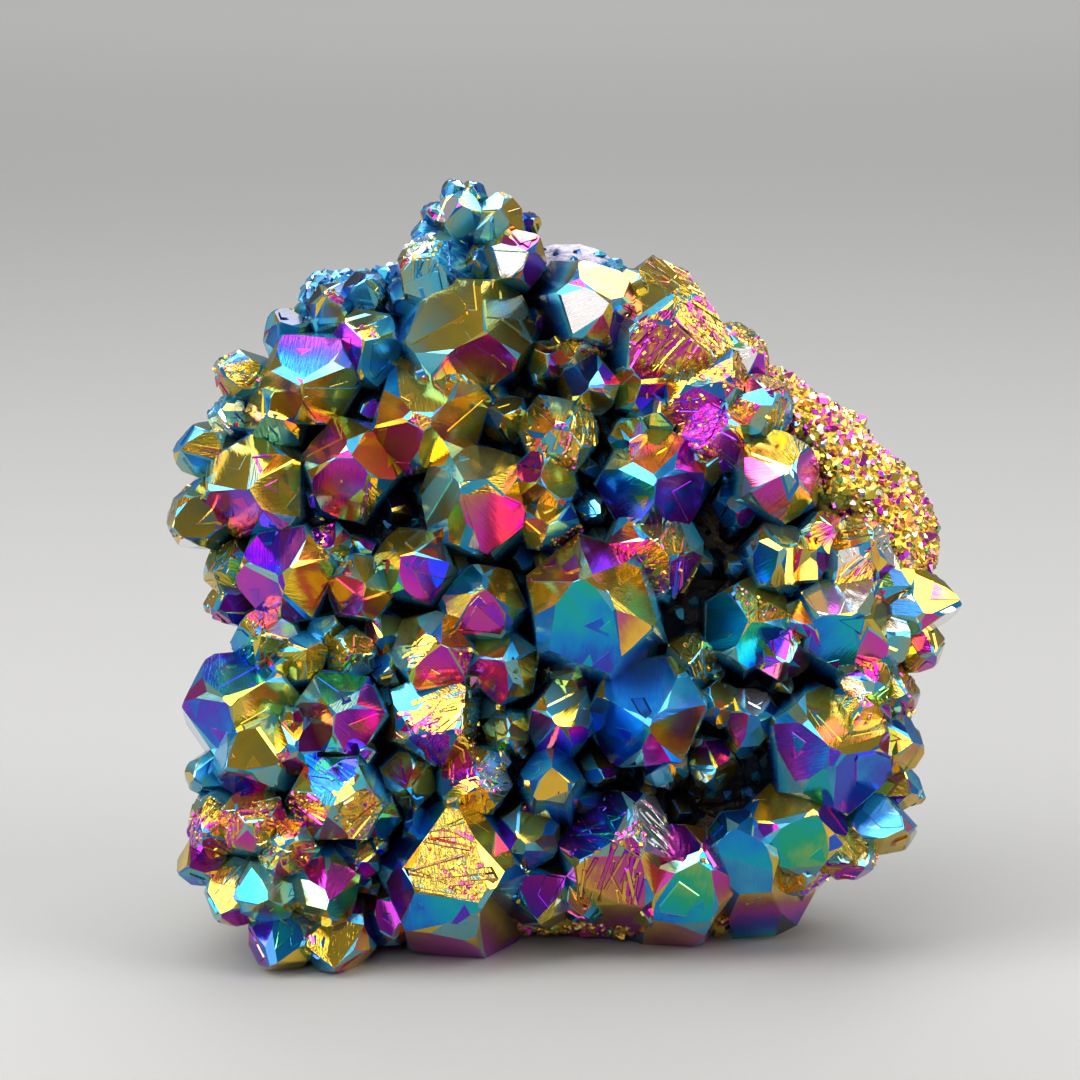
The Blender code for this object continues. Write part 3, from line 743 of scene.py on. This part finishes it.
def filler_points():
    """Small points that grow in the gaps, where part.py puts them."""
    chance = random.Random(FILLER_SEED)
    known = [point for group in GROUPS_AS_BUILT for point in group]
    fillers = []
    while len(fillers) < FILLER_COUNT:
        direction = chance.uniform(0, 360)
        reach = rock_reach(direction) * math.sqrt(chance.uniform(0, FILLER_SPREAD))
        across = reach * math.cos(math.radians(direction))
        up = CENTRE_UP + reach * math.sin(math.radians(direction))
        radius = chance.uniform(1.5, 2.6)
        lean = (chance.uniform(-25, 25), chance.uniform(-25, 25))
        clear = all(math.hypot(across - p.across, up - p.up) > 0.8 * p.radius + 0.3 * radius for p in known + fillers)
        if clear and across + up < SUGAR_EDGE:
            spin, rise = chance.uniform(0, 120), chance.uniform(-5.5, -2.5)
            film = ("blue olive cyan", "olive gold blue", "purple blue olive", "gold cyan olive")[len(fillers) % 4]
            fillers.append(Point(across, up, radius, *lean, spin, film, rise))
    return fillers


GROUPS_AS_BUILT = (CROWN, TOP_RIGHT, TOP_LEFT, MIDDLE, RIGHT, FOOT)


class Wire:
    """One output of a shader tree. A sum on it adds the Math node that works it out."""

    def __init__(self, tree, socket):
        self.tree = tree
        self.socket = socket

    def node(self, kind, settings=None, output=0, **values):
        """Adds any node: its settings first, then the values or links of its sockets."""
        made = self.tree.nodes.new(kind)
        for name, value in (settings or {}).items():
            if name == "stops":
                fill_ramp(made.color_ramp, value)
            else:
                setattr(made, name, value)
        for name, value in values.items():
            key = int(name[1:]) if name[0] == "_" else name.replace("_", " ")
            if isinstance(value, Wire):
                self.tree.links.new(value.socket, made.inputs[key])
            else:
                made.inputs[key].default_value = value
        return Wire(self.tree, made.outputs[output])

    def math(self, operation, first, second=0.0):
        return self.node("ShaderNodeMath", {"operation": operation}, _0=first, _1=second)

    def __add__(self, other):
        return self.math("ADD", self, other)

    __radd__ = __add__

    def __sub__(self, other):
        return self.math("SUBTRACT", self, other)

    def __rsub__(self, other):
        return self.math("SUBTRACT", other, self)

    def __mul__(self, other):
        return self.math("MULTIPLY", self, other)

    __rmul__ = __mul__

    def __pow__(self, other):
        return self.math("POWER", self, other)

    def steps(self, size):
        return self.math("SNAP", self, size)

    def between(self, low, high):
        """0 at low, 1 at high, smooth between."""
        settings = {"interpolation_type": "SMOOTHSTEP"}
        return self.node("ShaderNodeMapRange", settings, Value=self, From_Min=low, From_Max=high)


def fill_ramp(ramp, stops):
    while len(ramp.elements) > 1:
        ramp.elements.remove(ramp.elements[0])
    ramp.elements[0].position, ramp.elements[0].color = stops[0][0], (*stops[0][1], 1)
    for position, colour in stops[1:]:
        ramp.elements.new(position).color = (*colour, 1)


# The film's colours as it thickens, in linear light
FILM_COLOURS = [
    (0.00, (0.004, 0.004, 0.008)), (0.06, (0.007, 0.008, 0.022)), (0.13, (0.004, 0.014, 0.085)),
    (0.20, (0.004, 0.060, 0.26)), (0.27, (0.008, 0.17, 0.42)), (0.33, (0.04, 0.34, 0.50)),
    (0.39, (0.17, 0.34, 0.30)), (0.44, (0.34, 0.30, 0.09)), (0.49, (0.54, 0.40, 0.04)),
    (0.545, (0.82, 0.50, 0.05)), (0.58, (0.60, 0.28, 0.06)), (0.605, (0.47, 0.12, 0.13)),
    (0.635, (0.50, 0.05, 0.28)), (0.67, (0.56, 0.022, 0.42)), (0.72, (0.27, 0.018, 0.50)),
    (0.78, (0.055, 0.035, 0.50)),
    (0.815, (0.010, 0.10, 0.56)), (0.85, (0.004, 0.24, 0.64)), (0.895, (0.004, 0.38, 0.48)),
    (0.945, (0.015, 0.42, 0.20)),
    (1.00, (0.34, 0.48, 0.09)), (1.07, (0.80, 0.68, 0.30)), (1.14, (0.93, 0.86, 0.84)),
    (1.25, (0.95, 0.94, 0.97)),
]
# The near-black that the painted shade mixes in, deepest in the gaps.
PAINTED_GAP_SHADE = (0.006, 0.005, 0.010, 1)


def new_material(name):
    material = bpy.data.materials.new(name)
    material.use_nodes = True
    tree = material.node_tree
    shader = tree.nodes["Principled BSDF"]
    return material, shader, Wire(tree, None)


def film_ramp(wire, film):
    stops = [(thickness / FILM_TOP, colour) for thickness, colour in FILM_COLOURS]
    return wire.node("ShaderNodeValToRGB", {"stops": stops}, Fac=film * (1 / FILM_TOP))


def point_film():
    """The film on the points: every face has its own colour, with fine striae, and steps where it is broken; painted
    shade darkens it in the gaps.
    """
    material, shader, wire = new_material("aura_film_on_points")
    film = wire.node("ShaderNodeAttribute", {"attribute_name": "film"}, output=2)
    tone = wire.node("ShaderNodeAttribute", {"attribute_name": "tone"}, output=2)
    broken = wire.node("ShaderNodeAttribute", {"attribute_name": "broken"}, output=2)
    gloom = wire.node("ShaderNodeAttribute", {"attribute_name": "gloom"}, output=2).between(0.0, 1.0)
    facet = wire.node("ShaderNodeAttribute", {"attribute_name": "facet"}, output=1)
    fine = wire.node("ShaderNodeMapping", _0=facet, Scale=(2.4, 0.22, 1.0))
    striae = wire.node("ShaderNodeTexNoise", Vector=fine, Scale=1.6, Detail=3.0, Roughness=0.55)
    coarse = wire.node("ShaderNodeMapping", _0=facet, Scale=(1.1, 0.4, 1.0))
    ridge = wire.node("ShaderNodeTexNoise", Vector=coarse, Scale=1.0, Detail=3.0, Roughness=0.55, Distortion=0.9)
    clouds = wire.node("ShaderNodeTexNoise", Vector=facet, Scale=0.16, Detail=2.0, Roughness=0.5)
    patch = broken.between(0.25, 0.9)
    shift = (clouds - 0.5) * 0.15 + (striae - 0.5) * 0.045 + patch * (ridge - 0.5) * 0.42
    shade = film + tone + shift * film.between(0.02, 0.3)
    lit = film_ramp(wire, shade)
    # Painted shade: towards the gaps the film's colour is mixed into near-black.
    colour = wire.node("ShaderNodeMix", {"data_type": "RGBA"}, output=2, _0=gloom * 0.95, _6=lit, _7=PAINTED_GAP_SHADE)
    height = striae * (0.3 + broken * 0.5) + ridge * patch * 3.0
    bump = wire.node("ShaderNodeBump", Strength=0.35, Distance=0.0002, Height=height)
    tree = wire.tree
    tree.links.new(colour.socket, shader.inputs["Base Color"])
    tree.links.new(bump.socket, shader.inputs["Normal"])
    grain = tone.between(0.1, 0.3)
    rough = 0.10 + patch * 0.10 + gloom * 0.2 + grain * 0.14
    tree.links.new(rough.socket, shader.inputs["Roughness"])
    tree.links.new((0.62 + (film + tone).between(0.32, 0.46) * 0.32).socket, shader.inputs["Metallic"])
    shader.inputs["Coat Weight"].default_value = 0.25
    shader.inputs["Coat Roughness"].default_value = 0.06
    return material


def rock_film():
    """The broken rock: the same film, duller, over brown-grey stone, thinning out at the back, and painted shade in
    the gaps between the points.
    """
    material, shader, wire = new_material("aura_film_on_rock")
    place = wire.node("ShaderNodeTexCoord", output=3)
    gloom = wire.node("ShaderNodeAttribute", {"attribute_name": "gloom"}, output=2)
    bare_quartz = wire.node("ShaderNodeAttribute", {"attribute_name": "bare"}, output=2)
    depth = wire.node("ShaderNodeSeparateXYZ", output=1, Vector=place)
    swirl = wire.node("ShaderNodeTexNoise", Vector=place, Scale=45.0, Detail=5.0, Roughness=0.6)
    grit = wire.node("ShaderNodeTexNoise", Vector=place, Scale=900.0, Detail=4.0, Roughness=0.7)
    crack = wire.node("ShaderNodeTexVoronoi", {"feature": "DISTANCE_TO_EDGE"}, Vector=place, Scale=120.0)
    sugar = wire.node("ShaderNodeAttribute", {"attribute_name": "sugar"}, output=2)
    bare_shade = swirl * 1.1 - 0.16 + (grit - 0.5) * 0.2
    shade = bare_shade * (1 - sugar) + sugar * (0.44 + swirl * 0.16 + (grit - 0.5) * 0.2)
    stone = wire.node(
        "ShaderNodeValToRGB",
        {"stops": [(0.3, (0.05, 0.035, 0.03)), (0.5, (0.16, 0.12, 0.10)), (0.72, (0.34, 0.29, 0.27))]},
        Fac=grit * 0.6 + swirl * 0.4,
    )
    quartz = wire.node(
        "ShaderNodeValToRGB",
        {"stops": [(0.35, (0.20, 0.17, 0.24)), (0.52, (0.42, 0.38, 0.48)), (0.66, (0.72, 0.70, 0.78))]},
        Fac=grit * 0.5 + swirl * 0.5,
    )
    back = (depth * 30.0 + (swirl - 0.5) * 1.6).between(0.1, 0.9)
    film = film_ramp(wire, shade)
    weathered = wire.node("ShaderNodeMix", {"data_type": "RGBA"}, output=2, _0=back * 0.75, _6=film, _7=stone)
    # Painted shade: the rock between the points is mixed into near-black by depth.
    deep = wire.node("ShaderNodeMix", {"data_type": "RGBA"}, output=2, _0=gloom * 0.97, _6=weathered, _7=PAINTED_GAP_SHADE)
    uncoated = (bare_quartz + (swirl - 0.5) * 0.9 + (grit - 0.5) * 0.3).between(0.40, 0.62)
    colour = wire.node("ShaderNodeMix", {"data_type": "RGBA"}, output=2, _0=uncoated, _6=deep, _7=quartz)
    height = swirl * 1.0 + grit * 0.8 + crack.between(0.0, 0.06) * 0.3
    bump = wire.node("ShaderNodeBump", Strength=0.8, Distance=0.0006, Height=height)
    tree = wire.tree
    tree.links.new(colour.socket, shader.inputs["Base Color"])
    tree.links.new(bump.socket, shader.inputs["Normal"])
    tree.links.new(((0.8 - back * 0.7) * (1 - uncoated)).socket, shader.inputs["Metallic"])
    tree.links.new((0.3 + back * 0.3 + (grit - 0.5) * 0.3).socket, shader.inputs["Roughness"])
    return material


def blob(across, up, place_across, place_up, wide, tall):
    """A round mark on the crust: 1 at its middle, fading to nothing."""
    return math.exp(-(((across - place_across) / wide) ** 2) - ((up - place_up) / tall) ** 2)


def rock_marks(across, up, front):
    """Where each kind of grain grows on the rock and where it is bare quartz; front is 1 towards the points."""
    slope = min(1, max(0, (across + up - 99) / 5)) * (across > 16) * (up > 52)
    rim = min(1, max(0, (from_middle(across, up) - 0.62) / 0.1)) * (across > 12) * (up < 60)
    foot = blob(across, up, 16, 4, 34, 7)
    granules = max(blob(across, up, -32, 91, 10, 8), blob(across, up, -42, 84, 5, 5)) * (across < -19)
    bare = blob(across, up, 1.5, 99.5, 5, 4)
    sugar = max(slope, rim * 0.8, foot)
    return {
        "sugar": sugar * (front > -0.45),
        "granules": (granules > 0.3) * (front > -0.6),
        "carpet": (front > 0.1) * (sugar < 0.3) * (granules < 0.3),
        "bare": min(1, bare * 1.6),
        "gloom": 0.0,
    }


def rock_object(material):
    """The broken rock, a ball of many facets drawn out as part.py draws it, with a finer broken surface."""
    rock = bmesh.new()
    noise.seed_set(ROCK_SEED)
    bmesh.ops.create_icosphere(rock, subdivisions=6, radius=1)
    marks = {name: [] for name in rock_marks(0, 0, 0)}
    for vertex in rock.verts:
        x, y, z = vertex.co
        direction = math.degrees(math.atan2(y, x))
        spread = math.sin(math.pi / 2 * min(1, math.hypot(x, y))) ** 0.9
        reach = rock_reach(direction) * spread
        across = reach * math.cos(math.radians(direction))
        up = CENTRE_UP + reach * math.sin(math.radians(direction))
        outer = rock_level(across, up) if z > 0 else BACK_OUT + BACK_THINNING * up
        out = MIDDLE_OUT + (outer - MIDDLE_OUT) * abs(z) ** 0.55
        place = Vector((across, up, out))
        rough = noise.noise_vector(place * 0.07) * 1.4 + noise.noise_vector(place * 0.2)
        amount = ROCK_ROUGHNESS + (BACK_ROUGHNESS - ROCK_ROUGHNESS) * max(0, -z)
        fine = noise.noise_vector(place * 0.5) * 0.45 + noise.noise_vector(place * 1.3) * 0.2
        grown = place + rough * amount + fine
        for name, value in rock_marks(across, up, z).items():
            marks[name].append(float(value))
        # Painted shade on the rock's front, by depth in the gaps, none under the sugar.
        marks["gloom"][-1] = min(1, max(0, gloom_at(grown))) * (1 - marks["sugar"][-1]) if z > 0 else 0.0
        vertex.co = STAND @ grown
        vertex.co.z = max(vertex.co.z, 0.0)
    bmesh.ops.recalc_face_normals(rock, faces=rock.faces)
    mesh = bpy.data.meshes.new("broken_rock")
    rock.to_mesh(mesh)
    rock.free()
    for name, values in marks.items():
        mesh.attributes.new(name, "FLOAT", "POINT").data.foreach_set("value", values)
    mesh.materials.append(material)
    made = bpy.data.objects.new("broken_rock", mesh)
    bpy.context.scene.collection.objects.link(made)
    return made


class Graph:
    """A Geometry Nodes tree with named inputs, and one method that adds a node to it."""

    def __init__(self, name, sockets):
        self.tree = bpy.data.node_groups.new(name, "GeometryNodeTree")
        self.tree.interface.new_socket("Geometry", in_out="OUTPUT", socket_type="NodeSocketGeometry")
        self.keys = {}
        for label, kind in sockets.items():
            made = self.tree.interface.new_socket(label, in_out="INPUT", socket_type="NodeSocket" + kind)
            self.keys[label] = made.identifier
        self.inputs = self.tree.nodes.new("NodeGroupInput").outputs

    def node(self, kind, settings=None, output=0, **values):
        """Adds a node: its settings, then the values or links of its sockets; returns one of its outputs."""
        made = self.tree.nodes.new(kind)
        for name, value in (settings or {}).items():
            setattr(made, name, value)
        for name, value in values.items():
            socket = made.inputs[int(name[1:]) if name[0] == "_" else name.replace("_", " ")]
            if isinstance(value, bpy.types.NodeSocket):
                self.tree.links.new(value, socket)
            else:
                socket.default_value = value
        return made.outputs[output]


def grain_graph(shapes):
    """Scatters small quartz points over a surface where it carries a mark, each with its own film."""
    graph = Graph("grains_on_crust", {
        "Geometry": "Geometry", "Mark": "String", "Spacing": "Float", "Smallest": "Float", "Largest": "Float",
        "Tilt": "Float", "Thinnest Film": "Float", "Thickest Film": "Float", "Finish": "Material", "Seed": "Int",
        "Bareness": "Float",
    })
    given = graph.inputs
    mark = graph.node("GeometryNodeInputNamedAttribute", {"data_type": "FLOAT"}, Name=given["Mark"])
    clusters = graph.node("ShaderNodeTexNoise", Scale=CLUSTER_SCALE, Detail=1.0)
    covered = graph.node("ShaderNodeMath", {"operation": "GREATER_THAN"}, _0=clusters, _1=given["Bareness"])
    mark = graph.node("ShaderNodeMath", {"operation": "MULTIPLY"}, _0=mark, _1=covered)
    scatter = graph.tree.nodes.new("GeometryNodeDistributePointsOnFaces")
    scatter.distribute_method = "POISSON"
    scatter.inputs["Density Max"].default_value = GRAINS_PER_SQUARE_METRE
    for label, value in (("Mesh", given["Geometry"]), ("Distance Min", given["Spacing"]),
                         ("Density Factor", mark), ("Seed", given["Seed"])):
        graph.tree.links.new(value, scatter.inputs[label])
    size = graph.node("FunctionNodeRandomValue", {"data_type": "FLOAT"}, output=1, _2=given["Smallest"],
                      _3=given["Largest"], Seed=given["Seed"])
    low = graph.node("ShaderNodeCombineXYZ", X=graph.node("ShaderNodeMath", {"operation": "MULTIPLY"},
                                                          _0=given["Tilt"], _1=-1.0))
    high = graph.node("ShaderNodeCombineXYZ", X=given["Tilt"], Z=2 * math.pi)
    lean = graph.node("FunctionNodeRandomValue", {"data_type": "FLOAT_VECTOR"}, _0=low, _1=high, Seed=11)
    turn = graph.node("FunctionNodeEulerToRotation", Euler=lean)
    rotation = graph.node("FunctionNodeRotateRotation", {"rotation_space": "LOCAL"},
                          Rotation=scatter.outputs["Rotation"], Rotate_By=turn)
    chosen = graph.node("GeometryNodeCollectionInfo", _0=shapes, _1=True, _2=True)
    grains = graph.node("GeometryNodeInstanceOnPoints", Points=scatter.outputs["Points"], Instance=chosen,
                        Pick_Instance=True, Rotation=rotation, Scale=size)
    tone = graph.node("FunctionNodeRandomValue", {"data_type": "FLOAT"}, output=1, _2=given["Thinnest Film"],
                      _3=given["Thickest Film"], Seed=5)
    toned = graph.node("GeometryNodeStoreNamedAttribute", {"data_type": "FLOAT", "domain": "INSTANCE"},
                       Geometry=grains, Name="tone", Value=tone)
    real = graph.node("GeometryNodeRealizeInstances", Geometry=toned)
    place = graph.node("GeometryNodeInputPosition")
    above = graph.node("ShaderNodeVectorMath", {"operation": "MAXIMUM"}, _0=place, _1=(-1.0, -1.0, 0.0))
    grounded = graph.node("GeometryNodeSetPosition", Geometry=real, Position=above)
    dressed = graph.node("GeometryNodeSetMaterial", Geometry=grounded, Material=given["Finish"])
    out = graph.tree.nodes.new("NodeGroupOutput")
    graph.tree.links.new(dressed, out.inputs["Geometry"])
    return graph


def grain_shapes(material):
    """Four small quartz points, a millimetre in radius, that the grains are picked from."""
    collection = bpy.data.collections.new("grain_shapes")
    for number, (lean, spin) in enumerate(((0, 10), (9, 70), (-8, 130), (4, 215))):
        point = Point(0, 2.0 * number, 1.0, lean, -lean, spin, "night night night")
        faces, shoulder, tip, frame = point_faces(point)
        faces[-1] = faces[-1]._replace(place=shoulder - frame.col[2] * 0.9)
        solid, maker = cut_block(shoulder, 8, faces)
        pile = Pile()
        chance = random.Random(number)
        steps = {id(face): chance.uniform(-0.09, 0.09) for face in faces}
        pile.add_solid(solid, maker, faces, lambda place, face: steps.get(id(face), 0.0), frame.col[2])
        solid.free()
        made = pile.make(f"grain_{number}", material, Matrix.Scale(MM, 4) @ Matrix.Translation(-shoulder))
        bpy.context.scene.collection.objects.unlink(made)
        collection.objects.link(made)
    return collection


class Grain(NamedTuple):
    """One kind of grain: the mark that it grows on, its sizes in metres, its film, and how patchy it lies."""

    mark: str
    spacing: float
    smallest: float
    largest: float
    tilt: float
    thinnest: float
    thickest: float
    seed: int
    bareness: float = 0.0


ROCK_GRAINS = {
    "sugar_grains": Grain("sugar", 0.00075, 0.36, 0.72, 0.8, 0.46, 0.65, 3),
    # Pale grains that paint glints of light among the sugar.
    "sugar_lights": Grain("sugar", 0.0017, 0.4, 0.7, 1.0, 1.02, 1.14, 9),
    "sugar_lumps": Grain("sugar", 0.0050, 0.8, 1.4, 0.7, 0.45, 0.64, 12),
    "blue_granules": Grain("granules", 0.0011, 0.55, 1.15, 1.0, 0.20, 0.34, 4),
    # Pale grains that paint glints of light among the blue granules.
    "granule_lights": Grain("granules", 0.0022, 0.4, 0.8, 1.0, 1.12, 1.20, 15),
    "gap_grains": Grain("carpet", 0.0026, 0.4, 1.0, 0.8, 0.08, 0.32, 5),
}
CRUMBS = Grain("crumbs", 0.0006, 0.20, 0.42, 0.8, 0.45, 0.66, 21, 0.53)
CLUSTER_SCALE = 420.0
GRAINS_PER_SQUARE_METRE = 3000000.0


def grow_grains(graph, name, ground, grain, finish):
    """Runs the grain tree over a surface and keeps what grows on it as a plain mesh."""
    carrier = bpy.data.objects.new(name, ground.data.copy())
    bpy.context.scene.collection.objects.link(carrier)
    grow = carrier.modifiers.new("grains", "NODES")
    grow.node_group = graph.tree
    settings = {
        "Mark": grain.mark, "Spacing": grain.spacing, "Smallest": grain.smallest, "Largest": grain.largest,
        "Tilt": grain.tilt, "Thinnest Film": grain.thinnest, "Thickest Film": grain.thickest,
        "Finish": finish, "Seed": grain.seed, "Bareness": grain.bareness,
    }
    for label, value in settings.items():
        grow[graph.keys[label]] = value
    ready = carrier.evaluated_get(bpy.context.evaluated_depsgraph_get())
    mesh = bpy.data.meshes.new_from_object(ready)
    carrier.modifiers.remove(grow)
    carrier.data = mesh
    return carrier


def all_grains(rock, points, finish):
    """Every kind of grain on the rock, and crumbs on the broken faces of all but the gap points."""
    shapes = grain_shapes(finish)
    graph = grain_graph(shapes)
    made = [grow_grains(graph, name, rock, grain, finish) for name, grain in ROCK_GRAINS.items()]
    for group in points[:-1]:
        crumbs = group.name.replace("points", "crumbs")
        made.append(grow_grains(graph, crumbs, group, CRUMBS, finish))
    for shape in list(shapes.objects):
        bpy.data.objects.remove(shape)
    bpy.data.collections.remove(shapes)
    return made


def build_points(film):
    made = []
    for name, group in GROUPS.items():
        pile = Pile()
        chance = random.Random(name)
        for point in group:
            grow_point(pile, point, chance)
        made.append(pile.make(name, film))
    pile = Pile()
    chance = random.Random(FILLER_SEED)
    for point in filler_points():
        grow_point(pile, point, chance, plain=True)
    made.append(pile.make("gap_points", film))
    return made


def studio():
    """A plain pale floor and soft lights; camera() sets the camera at the photograph's angle."""
    floor = bpy.data.meshes.new("floor")
    floor.from_pydata([(-3, -3, 0), (3, -3, 0), (3, 3, 0), (-3, 3, 0)], [], [(0, 1, 2, 3)])
    material, shader, wire = new_material("pale_floor")
    shader.inputs["Base Color"].default_value = (0.26, 0.257, 0.25, 1)
    shader.inputs["Roughness"].default_value = 0.7
    floor.materials.append(material)
    floor = bpy.data.objects.new("floor", floor)
    bpy.context.scene.collection.objects.link(floor)
    world = bpy.data.worlds.new("studio")
    bpy.context.scene.world = world
    world.use_nodes = True
    world.node_tree.nodes["Background"].inputs["Color"].default_value = (0.85, 0.87, 0.9, 1)
    world.node_tree.nodes["Background"].inputs["Strength"].default_value = 0.24
    soft_light("over", (-0.05, 0.05, 0.80), (1.0, 0.5), 7.5)
    soft_light("upper_left", (-0.60, -0.25, 0.60), (0.50, 0.50), 6)
    soft_light("upper_right", (0.60, -0.25, 0.60), (0.50, 0.50), 5)
    soft_light("left", (-0.75, -0.15, 0.20), (0.45, 0.45), 4.2)
    soft_light("right", (0.75, -0.20, 0.20), (0.45, 0.45), 3.4)
    soft_light("front", (-0.20, -0.75, 0.50), (0.4, 0.4), 2.2)
    soft_light("floor_behind", (0.0, 2.2, 1.6), (3.0, 1.2), 60, aim=(0.0, 2.2, 0.0))


def soft_light(name, place, size, power, aim=(0, 0, 0.05)):
    light = bpy.data.lights.new(name, "AREA")
    light.shape = "RECTANGLE"
    light.size, light.size_y = size
    light.energy = power
    made = bpy.data.objects.new(name, light)
    bpy.context.scene.collection.objects.link(made)
    made.location = place
    made.rotation_euler = (Vector(aim) - Vector(place)).to_track_quat("-Z", "Y").to_euler()


def camera():
    made = bpy.data.objects.new("camera", bpy.data.cameras.new("camera"))
    made.data.lens = CAMERA_LENS
    made.data.sensor_width = 36
    bpy.context.scene.collection.objects.link(made)
    down = math.radians(CAMERA_LOOKS_DOWN)
    back = Vector((0, -math.cos(down), math.sin(down)))
    made.location = STAND @ Vector(LOOK_AT) + back * CAMERA_DISTANCE * MM
    made.rotation_euler = (-back).to_track_quat("-Z", "Y").to_euler()
    bpy.context.scene.camera = made


camera()
studio()
bpy.context.scene.view_settings.view_transform = "Standard"
film_finish = point_film()
points = build_points(film_finish)
rock = rock_object(rock_film())
pieces = points + [rock] + all_grains(rock, points, film_finish)
for piece in pieces:
    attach(piece, "root")
    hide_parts(DRUZY)
